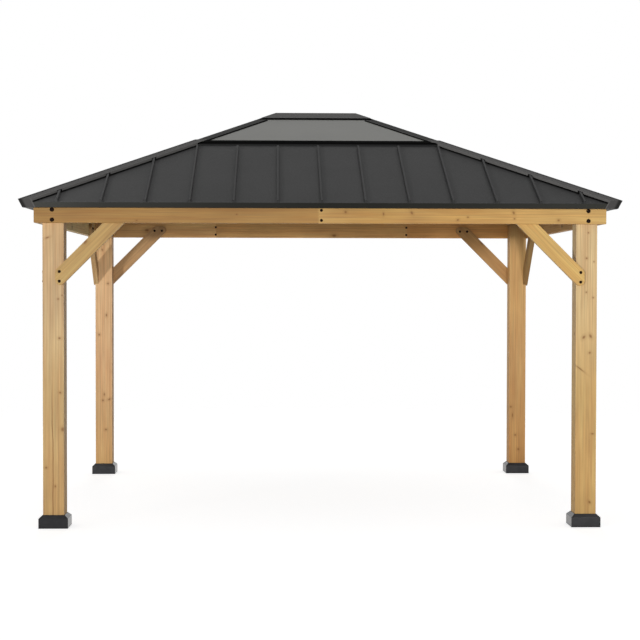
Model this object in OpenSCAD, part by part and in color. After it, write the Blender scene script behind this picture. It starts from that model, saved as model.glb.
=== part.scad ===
// Garden gazebo: four cedar posts and braced beams under a hipped sheet-metal roof with a skylight
// Millimetres, +Z up, front towards -Y, middle of the plan on the Z axis, feet on Z = 0

/* [Roof] */
// Depth of the sheet roof along the eave, front to back
eave_w = 3334; // [2800:1:3900]
// Length of the ridge, by which the roof is longer than it is deep
ridge_l = 610; // [450:1:800]
// Slope of all four roof sides, in degrees
roof_pitch = 24.3; // [21:0.1:27]
// Reach of the eave past the outer face of the beams
overhang = 77; // [60:1:100]
// Height from the beam top to the underside of the sheets, over the beam's outer face
heel_h = 50.5; // [46:0.5:64]
// Thickness of the sheets and folded trims, paint included
sheet_t = 2; // [1.5:0.1:3]
// Spacing of the standing seams
seam_pitch = 289; // [240:1:330]
// Width of a standing seam
seam_w = 13; // [9:0.5:18]
// Height of a standing seam over its sheet
seam_h = 20; // [14:0.5:26]
// Length of flat sheet from the upper end of a standing seam to the skylight
seam_stop = 45; // [20:1:80]
// Least room from the last standing seam to the eave corner
seam_room = 150; // [120:5:200]
// Gap from a sheet to the middle line of the hip
sheet_gap = 3; // [2:0.5:6]
// Drop of the eave soffit below the beam top
soffit_drop = 15; // [8:1:24]
// Width of the eave trim flange under the sheets
flange_w = 56; // [40:1:64]

/* [Hip caps] */
// Plan width of each wing of a hip cap
hip_cap_w = 60; // [48:1:80]
// Plan width of each folded end of a hip cap, over the eave trim
hip_flap_w = 60; // [40:1:80]
// Room round a standing seam where it passes a hip cap
notch_gap = 7; // [3:0.5:10]
// Gap left under the lips of a hip cap
lip_gap = 8; // [5:0.5:11]
// Small gap between folded trims that lie over each other
trim_gap = 0.3; // [0.2:0.1:0.6]

/* [Skylight] */
// Length of the skylight up the slope, from the foot of its sill to the ridge
sky_run = 699; // [560:1:850]
// Width of the sill up the slope
sill_w = 80; // [72:1:100]
// Thickness of the sill
sill_h = 8; // [6:0.5:10]
// Width of the sill left bare below the panes
sill_bare = 60; // [45:1:64]
// Thickness of the tinted panes
pane_t = 4; // [3:0.5:6]
// Thickness of the skylight bars over the panes
bar_h = 5; // [4:0.5:8]
// Plan width of each wing of a skylight hip bar
bar_w = 48; // [35:1:60]
// Width of the pad of a skylight bar under the panes
bar_pad = 38; // [30:1:44]
// Width of the web of a skylight bar between the panes
bar_web = 8; // [6:0.5:12]
// Gap round a pane
pane_gap = 0.5; // [0.3:0.1:0.9]
// Plan reach of the ridge cap from the ridge down each slope
ridge_cap_w = 108; // [90:1:125]
// Plan width of the ridge bar left bare below the ridge cap
ridge_bare = 26; // [15:1:40]

/* [Rafters] */
// Width of a hip rafter
hip_w = 45; // [40:1:56]
// Upright depth of a hip rafter
hip_d = 110; // [95:1:120]
// Thickness of the ridge board
ridge_t = 38; // [34:1:46]
// Depth of the ridge board below the hip rafters
ridge_drop = 10; // [5:1:25]
// Width of a common rafter
rafter_w = 38; // [30:1:50]
// Depth of a common rafter, square to the slope
rafter_d = 85; // [75:1:95]
// Share of the eave's half length from the middle to a common rafter
rafter_share = 0.32; // [0.2:0.01:0.45]
// Width of a purlin up the slope
purlin_w = 80; // [72:1:90]
// Depth of a purlin, square to the slope
purlin_d = 60; // [45:1:75]

/* [Beams] */
// Height of the beams' underside over the ground
beam_z = 2026; // [1900:1:2200]
// Height of a beam board
beam_h = 114; // [100:1:130]
// Thickness of a beam board
board_t = 25; // [20:0.5:30]
// Length of the half lap where two boards meet
lap_l = 44; // [30:1:60]
// Gap left in a half lap
lap_gap = 0.6; // [0.4:0.1:0.9]
// Share of the half length from the middle to a joint in the lining
lining_share = 0.435; // [0.3:0.005:0.6]

// Rise of the lining over the outer boards, where the rafters rest on it
lining_up = 16; // [8:1:22]

/* [Posts] */
// Width of a post
post_w = 140; // [130:1:160]
// Width of a post base's wall round the post
base_wall = 27.5; // [20:0.5:36]
// Height of a post base
base_h = 88; // [70:1:110]
// Height of the sloping shoulder of a post base
shoulder_h = 22; // [18:1:36]
// Width of the rim left on top of a post base
rim_w = 3; // [2:0.5:6]
// Thickness of the floor of a post base
floor_t = 6; // [4:0.5:12]
// Gap round a post in its base
socket_gap = 0.5; // [0.3:0.1:0.9]

/* [Braces] */
// Width of a brace across its run
brace_w = 100; // [85:1:112]
// Thickness of a brace
brace_t = 38; // [30:1:44]
// Distance from the inner corner of post and beam to the brace's middle line
brace_leg = 330; // [280:1:420]
// Length of a brace let into the post
brace_lap = 54; // [46:1:62]
// Distance from the beam top down to the upper end of a brace
brace_drop = 19; // [12:1:26]
// Radius of the rounded brace ends
brace_r = 32; // [20:1:36]
// Steps in a rounded brace end
brace_steps = 8; // [4:1:12]
// Stand of a brace out from the outer face of its post, let into the lining
brace_out = 14; // [6:1:18]
// Gap between a brace and its housings in post and lining
house_gap = 0.4; // [0.2:0.1:0.8]

/* [Hidden] */
// Length by which a cutting shape runs past the shape it cuts
overrun = 60;
diag = sqrt(2);
tan_p = tan(roof_pitch);
cos_p = cos(roof_pitch);
sin_p = sin(roof_pitch);
eave_l = eave_w + ridge_l;
beam_t = board_t * 2;
beam_top = beam_z + beam_h;
seat_z = beam_top + lining_up;
eave_z = beam_top + heel_h + sheet_t / cos_p - overhang * tan_p;
ridge_rise = eave_w / 2 / cos_p;
ridge_d = hip_d + ridge_drop;
soffit_z = beam_top - soffit_drop;
fascia_h = (eave_z - soffit_z) / cos_p;
sill_rise = ridge_rise - sky_run;
sheet_rise = sill_rise + sill_w;
pane_low = sill_rise + sill_bare;
pane_top = sill_h + pane_t;
bar_top = pane_top + bar_h;
cap_low = seam_h + trim_gap;
cap_top = cap_low + sheet_t;
ridge_low = bar_top + trim_gap;
ridge_top = ridge_low + sheet_t;
flap_out = trim_gap + sheet_t;
base_w = post_w + (socket_gap + base_wall) * 2;
brace_top = beam_h - brace_drop;
ridge_half = ridge_l / 2 + ridge_t / 2 + hip_w / diag;
lip_end = sill_rise * cos_p - cap_top * sin_p - trim_gap;
cap_end = pane_low * cos_p - pane_gap;
pad_start = sheet_rise * cos_p + sheet_t * 2;
ridge_inset = eave_w / 2 - ridge_cap_w;
sky_z = eave_z + eave_l;

// Sides count from the front through the right and the rear to the left
function side_l(i) = i % 2 == 0 ? eave_l : eave_w;
function side_d(i) = i % 2 == 0 ? eave_w : eave_l;
function post_out(i) = side_d(i) / 2 - overhang - beam_t;
function post_in(i) = side_l(i) / 2 - overhang - beam_t - post_w;

// Points of an arc in the upright plane
function arc(x, z, r, from, to) =
    [for (k = [0:brace_steps]) let (t = from + (to - from) * k / brace_steps) [x + r * cos(t), z + r * sin(t)]];

// Outline of a brace seen square on, from the inner face of its post; grow widens it for the housing
function brace_outline(grow) =
    let (r = brace_r,
         rise = (brace_w / 2 + grow) * diag,
         low = beam_z - brace_leg - rise,
         high = beam_z - brace_leg + rise,
         end = brace_lap + grow,
         top = beam_z + brace_top)
    concat(arc(r - end, low + r - end + r * diag, r, 180, 315),
           arc(top - r - low - r * diag, top - r, r, -45, 90),
           arc(top - r - high + r * diag, top - r, r, 90, 135),
           arc(r - end, high + r - end - r * diag, r, 135, 180));

// Turn to a side, with its eave line on the local X axis and Y running inward
module on_side(i) {
    rotate([0, 0, 90 * i]) translate([0, -side_d(i) / 2, 0]) children();
}

// Turn to a corner from the front left one
module on_corner(sx, sy) {
    if (sx < 0 && sy < 0) children();
    if (sx > 0 && sy < 0) mirror([1, 0, 0]) children();
    if (sx < 0 && sy > 0) mirror([0, 1, 0]) children();
    if (sx > 0 && sy > 0) rotate([0, 0, 180]) children();
}

// Plan of one roof side as an upright prism, held back from the hip lines
module sector(i, gap) {
    edge = side_l(i) / 2 - gap * diag;
    depth = min(eave_w / 2, edge);
    tip = edge - depth;
    linear_extrude(sky_z)
        polygon(concat([[-edge - overrun, -overrun], [edge + overrun, -overrun]],
                       tip > 0 ? [[tip, depth], [-tip, depth]] : [[0, depth]]));
}

// Slab lying on the slope of a side: along the eave, up the slope, and square to it
module slab(x0, x1, up0, up1, low, high) {
    translate([0, 0, eave_z]) rotate([roof_pitch, 0, 0])
        translate([x0, up0, low]) cube([x1 - x0, up1 - up0, high - low]);
}

// All of the space under the four roof planes, raised square to the slope
module under_roof(raise) {
    intersection() {
        under_gable(eave_w / 2, eave_l, raise);
        rotate([0, 0, 90]) under_gable(eave_l / 2, eave_w, raise);
    }
}

module under_gable(half, run, raise) {
    foot = eave_z + raise / cos_p - overrun * tan_p;
    peak = eave_z + raise / cos_p + half * tan_p;
    rotate([90, 0, 90]) translate([0, 0, -run / 2 - overrun * 2]) linear_extrude(run + overrun * 4)
        polygon([[-half - overrun, 0], [half + overrun, 0], [half + overrun, foot], [0, peak],
                 [-half - overrun, foot]]);
}

// All of the space inside the four leaning fascia planes, moved outward by a gap
module inside_fascia(gap) {
    intersection() {
        inside_lean(eave_w / 2, eave_l, gap);
        rotate([0, 0, 90]) inside_lean(eave_l / 2, eave_w, gap);
    }
}

module inside_lean(half, run, gap) {
    low = half + (gap - overrun * 2 * sin_p) / cos_p;
    high = half + (gap + eave_l * sin_p) / cos_p;
    rotate([90, 0, 90]) translate([0, 0, -run / 2 - overrun * 2]) linear_extrude(run + overrun * 4)
        polygon([[-low, eave_z - overrun * 2], [low, eave_z - overrun * 2], [high, sky_z],
                 [-high, sky_z]]);
}

// Upright prism over the plan rectangle that lies inside the eave line by a distance
module inner_plan(inset) {
    translate([inset - eave_l / 2, inset - eave_w / 2, 0])
        cube([eave_l - inset * 2, eave_w - inset * 2, sky_z]);
}

// Upright strip along the front left hip line, both ways from it
module hip_strip(half) {
    translate([-eave_l / 2, -eave_w / 2, 0]) rotate([0, 0, 45])
        translate([-overrun, -half, 0]) cube([eave_w / 2 * diag + overrun * 2, half * 2, sky_z]);
}

// The front left quarter of the plan, held back from the ridge line
module front_left(gap) {
    translate([-eave_l, -eave_w, 0]) cube([eave_l, eave_w - gap, sky_z]);
}

// Standing seams of one side; grow widens them for the notches in its own wings of the hip caps
module seams(i, low, grow) {
    last = floor((side_l(i) / 2 - seam_room) / seam_pitch);
    for (k = [-last:last])
        slab(k * seam_pitch - seam_w / 2 - grow, k * seam_pitch + seam_w / 2 + grow,
             -grow, sill_rise - seam_stop + grow, low, seam_h + trim_gap * sign(grow));
}

// Posts and their bases
module post(sx, sy) {
    px = sx * (post_in(0) + post_w / 2);
    py = sy * (post_in(1) + post_w / 2);
    color("burlywood") difference() {
        translate([px - post_w / 2, py - post_w / 2, floor_t])
            cube([post_w, post_w, beam_top - floor_t]);
        brace(sy < 0 ? 0 : 2, sx * sy < 0 ? 1 : -1, house_gap, overrun);
        brace(sx < 0 ? 3 : 1, sx * sy < 0 ? -1 : 1, house_gap, overrun);
    }
}

module post_base(sx, sy) {
    px = sx * (post_in(0) + post_w / 2);
    py = sy * (post_in(1) + post_w / 2);
    socket = post_w + socket_gap * 2;
    color("dimgray") translate([px, py, 0]) difference() {
        intersection() {
            base_profile();
            rotate([0, 0, 90]) base_profile();
        }
        translate([-socket / 2, -socket / 2, floor_t]) cube([socket, socket, base_h]);
    }
}

module base_profile() {
    rim = post_w / 2 + socket_gap + rim_w;
    rotate([90, 0, 90]) translate([0, 0, -base_w / 2]) linear_extrude(base_w)
        polygon([[-base_w / 2, 0], [base_w / 2, 0], [base_w / 2, base_h - shoulder_h], [rim, base_h],
                 [-rim, base_h], [-base_w / 2, base_h - shoulder_h]]);
}

// Braces: end is -1 for the left one of a side seen from outside, 1 for the right one
module brace(i, end, grow, proud) {
    rotate([0, 0, 90 * i]) {
        if (end < 0) brace_left(i, grow, proud);
        if (end > 0) mirror([1, 0, 0]) brace_left(i, grow, proud);
    }
}

module brace_left(i, grow, proud) {
    translate([-post_in(i), brace_t + grow - brace_out - post_out(i), 0]) rotate([90, 0, 0])
        linear_extrude(brace_t + grow + proud) polygon(brace_outline(grow));
}

module braces(i) {
    color("tan") {
        brace(i, -1, 0, 0);
        brace(i, 1, 0, 0);
    }
}

// Beams: an outer layer of two boards and a lining of three, with half lapped joints
module beam_frame(i, layer) {
    rotate([0, 0, 90 * i])
        translate([0, overhang + board_t * layer - side_d(i) / 2, beam_z]) children();
}

function beam_half(i) = side_l(i) / 2 - overhang - (i % 2 == 0 ? 0 : beam_t);

module board(x0, x1, h) {
    translate([x0, 0, 0]) cube([x1 - x0, board_t, h]);
}

// Board whose right end carries the inner half of the lap at joint x
module lap_inner(x, h) {
    translate([x - lap_l, board_t / 2 + lap_gap / 2, 0])
        cube([lap_l * 3 / 2, board_t / 2 - lap_gap / 2, h]);
}

// Board whose left end carries the outer half of the lap at joint x
module lap_outer(x, h) {
    translate([x - lap_l / 2 + lap_gap, 0, 0])
        cube([lap_l * 3 / 2, board_t / 2 - lap_gap / 2, h]);
}

module beam(i) {
    half = beam_half(i);
    color("peru") beam_frame(i, 0) {
        board(-half, -lap_l / 2, beam_h);
        lap_inner(0, beam_h);
        board(lap_l / 2 + lap_gap, half, beam_h);
        lap_outer(0, beam_h);
    }
}

module beam_lining(i) {
    color("sandybrown") difference() {
        beam_frame(i, 1) lining_boards(beam_half(i), beam_h + lining_up);
        brace(i, -1, house_gap, house_gap);
        brace(i, 1, house_gap, house_gap);
    }
}

module lining_boards(half, h) {
    joint = half * lining_share;
    board(-half, -joint - lap_l / 2, h);
    lap_inner(-joint, h);
    board(lap_l / 2 + lap_gap - joint, joint - lap_l / 2 - lap_gap, h);
    lap_outer(-joint, h);
    mirror([1, 0, 0]) lap_outer(-joint, h);
    mirror([1, 0, 0]) board(-half, -joint - lap_l / 2, h);
    mirror([1, 0, 0]) lap_inner(-joint, h);
}

// Rafters
module hip_rafter(sx, sy) {
    top = eave_z - sheet_t / cos_p;
    fall = tan_p / diag;
    start = overhang * diag + hip_w / 2;
    seat = (seat_z + hip_d - top) / fall;
    finish = eave_w / 2 * diag + overrun;
    color("wheat") on_corner(sx, sy) intersection() {
        under_roof(-sheet_t);
        front_left(ridge_t / 2);
        translate([-eave_l / 2, -eave_w / 2, 0]) rotate([0, 0, 45]) rotate([90, 0, 0])
            translate([0, 0, -hip_w / 2]) linear_extrude(hip_w)
                polygon([[start, seat_z], [seat, seat_z], [finish, top + finish * fall - hip_d],
                         [finish, top + finish * fall + overrun], [start, top + start * fall + overrun]]);
    }
}

module ridge_board() {
    top = eave_z - sheet_t / cos_p + eave_w / 2 * tan_p;
    color("wheat") intersection() {
        under_roof(-sheet_t);
        translate([-ridge_half, -ridge_t / 2, top - ridge_d]) cube([ridge_half * 2, ridge_t, ridge_d]);
    }
}

module purlins() {
    color("wheat") for (i = [0:3]) on_side(i) intersection() {
        slab(-side_l(i) / 2, side_l(i) / 2, sheet_rise - purlin_w, sheet_rise, -sheet_t - purlin_d, -sheet_t);
        sector(i, hip_w / 2);
    }
}

module common_rafters() {
    color("wheat") for (i = [0:3], s = [-1, 1]) {
        mid = s * rafter_share * side_l(i) / 2;
        on_side(i) difference() {
            slab(mid - rafter_w / 2, mid + rafter_w / 2, 0, sheet_rise - purlin_w,
                 -sheet_t - rafter_d, -sheet_t);
            translate([-eave_l, -overrun * 2, 0]) cube([eave_l * 2, overhang + overrun * 2, sky_z]);
            translate([-eave_l, 0, 0]) cube([eave_l * 2, eave_l, seat_z]);
        }
    }
}

// Roof sheets with their standing seams
module roof_panel(i) {
    color("darkslategray") on_side(i) intersection() {
        union() {
            slab(-side_l(i) / 2, side_l(i) / 2, 0, sheet_rise, -sheet_t, 0);
            seams(i, -sheet_t, 0);
        }
        sector(i, sheet_gap);
    }
}

// Eave trim: a flange under the sheets, the leaning fascia, the soffit and an upstand on the beam
module fascia(i) {
    half = side_l(i) / 2;
    soffit_y = fascia_h * sin_p + sheet_t / 2;
    color("black") on_side(i) intersection() {
        union() {
            slab(-half, half, 0, flange_w, -sheet_t * 2, -sheet_t);
            intersection() {
                slab(-half, half, 0, sheet_t, -fascia_h - sheet_t, -sheet_t);
                translate([-half, 0, soffit_z]) cube([half * 2, overhang, fascia_h]);
            }
            translate([-half, soffit_y, soffit_z]) cube([half * 2, overhang - soffit_y, sheet_t]);
            translate([-half, overhang - sheet_t, soffit_z]) cube([half * 2, sheet_t, soffit_drop]);
        }
        sector(i, trim_gap);
    }
}

// Hip caps: two wings on the seams, notched lips above the sheets, ends folded over the eave trim
module hip_cap(sx, sy) {
    color("gray") on_corner(sx, sy) difference() {
        intersection() {
            under_roof(cap_top);
            inside_fascia(flap_out);
            union() {
                difference() {
                    hip_strip(hip_cap_w);
                    under_roof(cap_low);
                    inner_plan(cap_end);
                }
                difference() {
                    hip_strip(hip_cap_w);
                    hip_strip(hip_cap_w - sheet_t);
                    under_roof(lip_gap);
                    inner_plan(lip_end);
                    for (i = [0, 3]) on_side(i) intersection() {
                        seams(i, -overrun, notch_gap);
                        sector(i, 0);
                    }
                }
                difference() {
                    hip_strip(hip_flap_w);
                    inside_fascia(trim_gap);
                }
            }
        }
        under_roof(-fascia_h);
        inner_plan(cap_end);
    }
}

// Skylight: sills on the sheets, bars on the hip rafters and the ridge, panes between them
module skylight_frame() {
    color("black") {
        for (i = [0:3]) on_side(i) intersection() {
            slab(-side_l(i) / 2, side_l(i) / 2, sill_rise, sill_rise + sill_w, 0, sill_h);
            sector(i, trim_gap);
        }
        for (sx = [-1, 1], sy = [-1, 1]) on_corner(sx, sy) hip_bar();
        difference() {
            intersection() {
                under_roof(pane_top + sheet_t);
                inner_plan(ridge_inset - ridge_bare);
            }
            under_roof(pane_top);
            inner_plan(ridge_inset + ridge_bare);
        }
        difference() {
            intersection() {
                under_roof(sill_h);
                translate([-ridge_half, -ridge_t / 2, 0]) cube([ridge_half * 2, ridge_t, sky_z]);
            }
            under_roof(-sheet_t);
        }
    }
}

module hip_bar() {
    intersection() {
        under_roof(bar_top);
        front_left(ridge_t / 2 + pane_gap);
        union() {
            difference() {
                intersection() {
                    hip_strip(bar_pad / 2);
                    under_roof(sill_h);
                    inner_plan(pad_start);
                }
                under_roof(-sheet_t);
            }
            difference() {
                intersection() {
                    hip_strip(bar_web / 2);
                    inner_plan(pad_start);
                    under_roof(pane_top);
                }
                under_roof(-sheet_t);
            }
            difference() {
                intersection() {
                    hip_strip(bar_w);
                    inner_plan(cap_end + pane_gap);
                }
                under_roof(pane_top);
            }
        }
    }
}

module skylight(i) {
    color("lightslategray") on_side(i) intersection() {
        slab(-side_l(i) / 2, side_l(i) / 2, pane_low, ridge_rise - pane_t * 2, sill_h, pane_top);
        sector(i, bar_web / 2 + pane_gap);
    }
}

// Ridge cap: a small hipped hat on the bars
module ridge_cap() {
    color("dimgray") difference() {
        intersection() {
            under_roof(ridge_top);
            inner_plan(ridge_inset);
        }
        under_roof(ridge_low);
    }
}

module post_front_left() { post(-1, -1); }
module post_front_right() { post(1, -1); }
module post_rear_left() { post(-1, 1); }
module post_rear_right() { post(1, 1); }
module post_base_front_left() { post_base(-1, -1); }
module post_base_front_right() { post_base(1, -1); }
module post_base_rear_left() { post_base(-1, 1); }
module post_base_rear_right() { post_base(1, 1); }
module front_braces() { braces(0); }
module right_braces() { braces(1); }
module rear_braces() { braces(2); }
module left_braces() { braces(3); }
module front_beam() { beam(0); }
module right_beam() { beam(1); }
module rear_beam() { beam(2); }
module left_beam() { beam(3); }
module front_beam_lining() { beam_lining(0); }
module right_beam_lining() { beam_lining(1); }
module rear_beam_lining() { beam_lining(2); }
module left_beam_lining() { beam_lining(3); }
module hip_rafter_front_left() { hip_rafter(-1, -1); }
module hip_rafter_front_right() { hip_rafter(1, -1); }
module hip_rafter_rear_left() { hip_rafter(-1, 1); }
module hip_rafter_rear_right() { hip_rafter(1, 1); }
module front_roof_panel() { roof_panel(0); }
module right_roof_panel() { roof_panel(1); }
module rear_roof_panel() { roof_panel(2); }
module left_roof_panel() { roof_panel(3); }
module front_fascia() { fascia(0); }
module right_fascia() { fascia(1); }
module rear_fascia() { fascia(2); }
module left_fascia() { fascia(3); }
module hip_cap_front_left() { hip_cap(-1, -1); }
module hip_cap_front_right() { hip_cap(1, -1); }
module hip_cap_rear_left() { hip_cap(-1, 1); }
module hip_cap_rear_right() { hip_cap(1, 1); }
module front_skylight() { skylight(0); }
module right_skylight() { skylight(1); }
module rear_skylight() { skylight(2); }
module left_skylight() { skylight(3); }

post_front_left();
post_front_right();
post_rear_left();
post_rear_right();
post_base_front_left();
post_base_front_right();
post_base_rear_left();
post_base_rear_right();
front_braces();
right_braces();
rear_braces();
left_braces();
front_beam();
right_beam();
rear_beam();
left_beam();
front_beam_lining();
right_beam_lining();
rear_beam_lining();
left_beam_lining();
hip_rafter_front_left();
hip_rafter_front_right();
hip_rafter_rear_left();
hip_rafter_rear_right();
ridge_board();
purlins();
common_rafters();
front_roof_panel();
right_roof_panel();
rear_roof_panel();
left_roof_panel();
front_fascia();
right_fascia();
rear_fascia();
left_fascia();
hip_cap_front_left();
hip_cap_front_right();
hip_cap_rear_left();
hip_cap_rear_right();
skylight_frame();
front_skylight();
right_skylight();
rear_skylight();
left_skylight();
ridge_cap();
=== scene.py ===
"""Garden gazebo: the finish of the timber, the sheet roof and the fittings, in metres."""

import math
import random

import bpy
from mathutils import Matrix, Vector


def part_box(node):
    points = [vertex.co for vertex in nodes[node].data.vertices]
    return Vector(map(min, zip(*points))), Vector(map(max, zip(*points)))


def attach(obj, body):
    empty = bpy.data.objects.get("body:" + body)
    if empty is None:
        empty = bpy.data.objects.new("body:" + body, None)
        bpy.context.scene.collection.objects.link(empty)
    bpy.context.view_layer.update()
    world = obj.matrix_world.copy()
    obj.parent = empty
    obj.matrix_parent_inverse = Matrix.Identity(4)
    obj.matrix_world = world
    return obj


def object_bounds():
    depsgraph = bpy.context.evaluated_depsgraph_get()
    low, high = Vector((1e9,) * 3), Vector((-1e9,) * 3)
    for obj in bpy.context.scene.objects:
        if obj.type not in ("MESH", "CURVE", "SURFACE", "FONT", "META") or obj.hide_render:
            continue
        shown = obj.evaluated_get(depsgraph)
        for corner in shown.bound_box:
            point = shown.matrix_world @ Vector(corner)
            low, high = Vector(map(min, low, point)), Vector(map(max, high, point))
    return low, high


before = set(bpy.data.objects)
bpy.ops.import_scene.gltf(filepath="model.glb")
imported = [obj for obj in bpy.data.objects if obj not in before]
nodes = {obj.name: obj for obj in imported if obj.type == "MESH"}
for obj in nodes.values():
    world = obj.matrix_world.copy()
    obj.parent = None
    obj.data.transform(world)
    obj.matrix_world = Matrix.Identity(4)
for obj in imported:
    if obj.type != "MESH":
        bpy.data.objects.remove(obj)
cad_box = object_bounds()
scene = bpy.context.scene

CORNERS = ("front_left", "front_right", "rear_left", "rear_right")
SIDES = ("front", "right", "rear", "left")
LONG_SIDES = ("front", "rear")
MM = 0.001
QUARTER = math.radians(90)

# Places read from the frame
post_low, post_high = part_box("post_front_left")
beam_low, beam_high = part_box("front_beam")
side_beam_low, side_beam_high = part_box("left_beam")
lining_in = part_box("front_beam_lining")[1][1]
side_lining_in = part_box("left_beam_lining")[1][0]
brace_low, brace_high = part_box("front_braces")
POST_X = -(post_low[0] + post_high[0]) / 2
POST_Y = -(post_low[1] + post_high[1]) / 2
POST_W = post_high[0] - post_low[0]
BEAM_Z = beam_low[2]
HALF_BEAM = beam_high[0]
HALF_SIDE_BEAM = side_beam_high[1]
# Boards of the beams meet a little left of the middle, those of the linings at a share of the half length
JOINT = -22 * MM
LINING_SHARE = 0.435
# The hips run at 45 degrees in plan from the ends of the ridge
RIDGE_HALF = cad_box[1][0] - cad_box[1][1]

# Places of a colour mix node's sockets
SHARE, FIRST, SECOND, MIXED = 0, 6, 7, 2
# Noise stays mostly between these values
NOISE_LOW, NOISE_HIGH = 0.3, 0.7
# Room after the last of a row of stepped colours
STEP_ROOM = 0.2


def linear(code):
    """An sRGB hex colour as linear RGBA."""
    parts = [int(code[i : i + 2], 16) / 255 for i in (1, 3, 5)]
    return [c / 12.92 if c <= 0.04045 else ((c + 0.055) / 1.055) ** 2.4 for c in parts] + [1.0]


def add(tree, kind, inputs=None, **settings):
    """Adds one node; an input that is a socket is linked, any other value is set on the socket."""
    node = tree.nodes.new(kind)
    for key, value in settings.items():
        setattr(node, key, value)
    for key, value in (inputs or {}).items():
        if isinstance(value, bpy.types.NodeSocket):
            tree.links.new(value, node.inputs[key])
        else:
            node.inputs[key].default_value = value
    return node


def new_material(name):
    """An empty material and its node tree."""
    material = bpy.data.materials.new(name)
    material.use_nodes = True
    material.node_tree.nodes.clear()
    return material, material.node_tree


def finish_surface(tree, settings):
    """Ends a material with its shader and output."""
    shader = add(tree, "ShaderNodeBsdfPrincipled", settings)
    add(tree, "ShaderNodeOutputMaterial", {"Surface": shader.outputs["BSDF"]})


def noise_to(pattern, least, most):
    """Settings that spread a noise over another range."""
    return {"Value": pattern, "From Min": NOISE_LOW, "From Max": NOISE_HIGH, "To Min": least, "To Max": most}


def mottled(tree, colour, pattern, least, most):
    """A colour that a noise makes darker and lighter, between two strengths."""
    strength = add(tree, "ShaderNodeMapRange", noise_to(pattern, least, most)).outputs["Result"]
    return add(tree, "ShaderNodeVectorMath", {0: colour, "Scale": strength}, operation="SCALE").outputs[0]


def row_of_colours(tree, value, stops, stepped=False):
    """Colours in a row: stops are (place, linear colour), blended from each to the next or stepped."""
    low = stops[0][0]
    reach = stops[-1][0] - low + (STEP_ROOM if stepped else 0.0)
    spot = add(tree, "ShaderNodeMapRange", {"Value": value, "From Min": low, "From Max": low + reach})
    ramp = add(tree, "ShaderNodeValToRGB", {"Fac": spot.outputs["Result"]})
    ramp.color_ramp.interpolation = "CONSTANT" if stepped else "LINEAR"
    while len(ramp.color_ramp.elements) < len(stops):
        ramp.color_ramp.elements.new(1.0)
    for stop, (start, colour) in zip(ramp.color_ramp.elements, stops):
        stop.position = (start - low) / reach
        stop.color = colour
    return ramp.outputs["Color"]


def from_hip(tree, axes):
    """Distance in plan from the nearest hip line, in metres."""
    across, along = (
        add(tree, "ShaderNodeMath", {0: axes.outputs[axis]}, operation="ABSOLUTE").outputs[0] for axis in "XY"
    )
    off = add(tree, "ShaderNodeMath", {0: across, 1: along}, operation="SUBTRACT").outputs[0]
    off = add(tree, "ShaderNodeMath", {0: off, 1: RIDGE_HALF}, operation="SUBTRACT").outputs[0]
    off = add(tree, "ShaderNodeMath", {0: off}, operation="ABSOLUTE").outputs[0]
    return add(tree, "ShaderNodeMath", {0: off, 1: math.sqrt(0.5)}, operation="MULTIPLY").outputs[0]


# Cedar

LATE_WOOD = linear("#8a6034")
KNOT = linear("#6e3f14")
# Patterns: size across the grain, how far they are drawn out along it, detail.
# Fibres are coarser than real ones so that they show.
FIBRES = (7 * MM, 60, 3.0)
HEARTWOOD = (35 * MM, 14, 2.0)
CLOUDS = (150 * MM, 2.5, 2.0)
# Late wood lines: real ones are 2 to 4 mm apart and would not show
LATE_WOOD_GAP = 16 * MM
LATE_WOOD_DRAWN = 20
# A wave texture at scale 1 has its bands this far apart
WAVE_GAP = 0.314
# Streaks of heartwood lean from pink to straw
PINK = (0.93, 0.86, 0.80, 1)
STRAW = (1.07, 1.12, 1.10, 1)
PINK_AT, STRAW_AT = 0.32, 0.68
# Scattered knots in a metre across and along the grain, and their half width as a share of their room
KNOTS_ACROSS, KNOTS_ALONG = 5.0, 2.2
KNOT_SHARE = 1 / 26
# Turn of their rows round the grain, in radians
KNOT_SWING = 0.8
# Stains round a knot: where they start and end in half widths, share at the start, colour, blending
KNOT_STAINS = ((0.8, 3.2, 0.28, LATE_WOOD, "LINEAR"), (0.2, 1.5, 0.66, KNOT, "SMOOTHSTEP"))
# How the pattern moves from board to board and from piece to piece
BOARD_STEP = (0.31, 0.17, 0.23)
PIECE_START = (0.06, 0.09, 0.0)
PIECE_STEP = (0.013, -0.017, 0.4)
# A drying crack: half width, where it ends, how far it wanders, how it fades up and into the post
CRACK_HALF, CRACK_EDGE, CRACK_WANDER = 1 * MM, 4.5 * MM, 4 * MM
CRACK_FADE = 0.4
CRACK_DEPTH, CRACK_END = 20 * MM, 30 * MM


def board_place(tree, place, along, starts, mirrored):
    """The place on a piece, moved on for each of its boards, or alike on both of a mirrored pair."""
    axes = add(tree, "ShaderNodeSeparateXYZ", {"Vector": place})
    if mirrored:
        parts = {axis: axes.outputs[axis] for axis in "XYZ"}
        flip = add(tree, "ShaderNodeMath", {0: axes.outputs[mirrored]}, operation="ABSOLUTE")
        parts[mirrored] = flip.outputs[0]
        place = add(tree, "ShaderNodeCombineXYZ", parts).outputs[0]
    if starts:
        jumps = [(start, [step * i for step in BOARD_STEP] + [1]) for i, start in enumerate(starts)]
        jump = row_of_colours(tree, axes.outputs[along], jumps, True)
        place = add(tree, "ShaderNodeVectorMath", {0: place, 1: jump}).outputs[0]
    return place


def grain_patterns(tree, grain):
    """Noises drawn out along the grain: fibres, streaks of heartwood and clouds of tone."""
    patterns = []
    for size, drawn, detail in (FIBRES, HEARTWOOD, CLOUDS):
        drawn_out = add(tree, "ShaderNodeMapping", {"Vector": grain, "Scale": (1, 1, 1 / drawn)})
        noise = add(
            tree,
            "ShaderNodeTexNoise",
            {"Vector": drawn_out.outputs["Vector"], "Scale": 1 / size, "Detail": detail, "Roughness": 0.55},
        )
        patterns.append(noise.outputs["Fac"])
    return patterns


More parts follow.
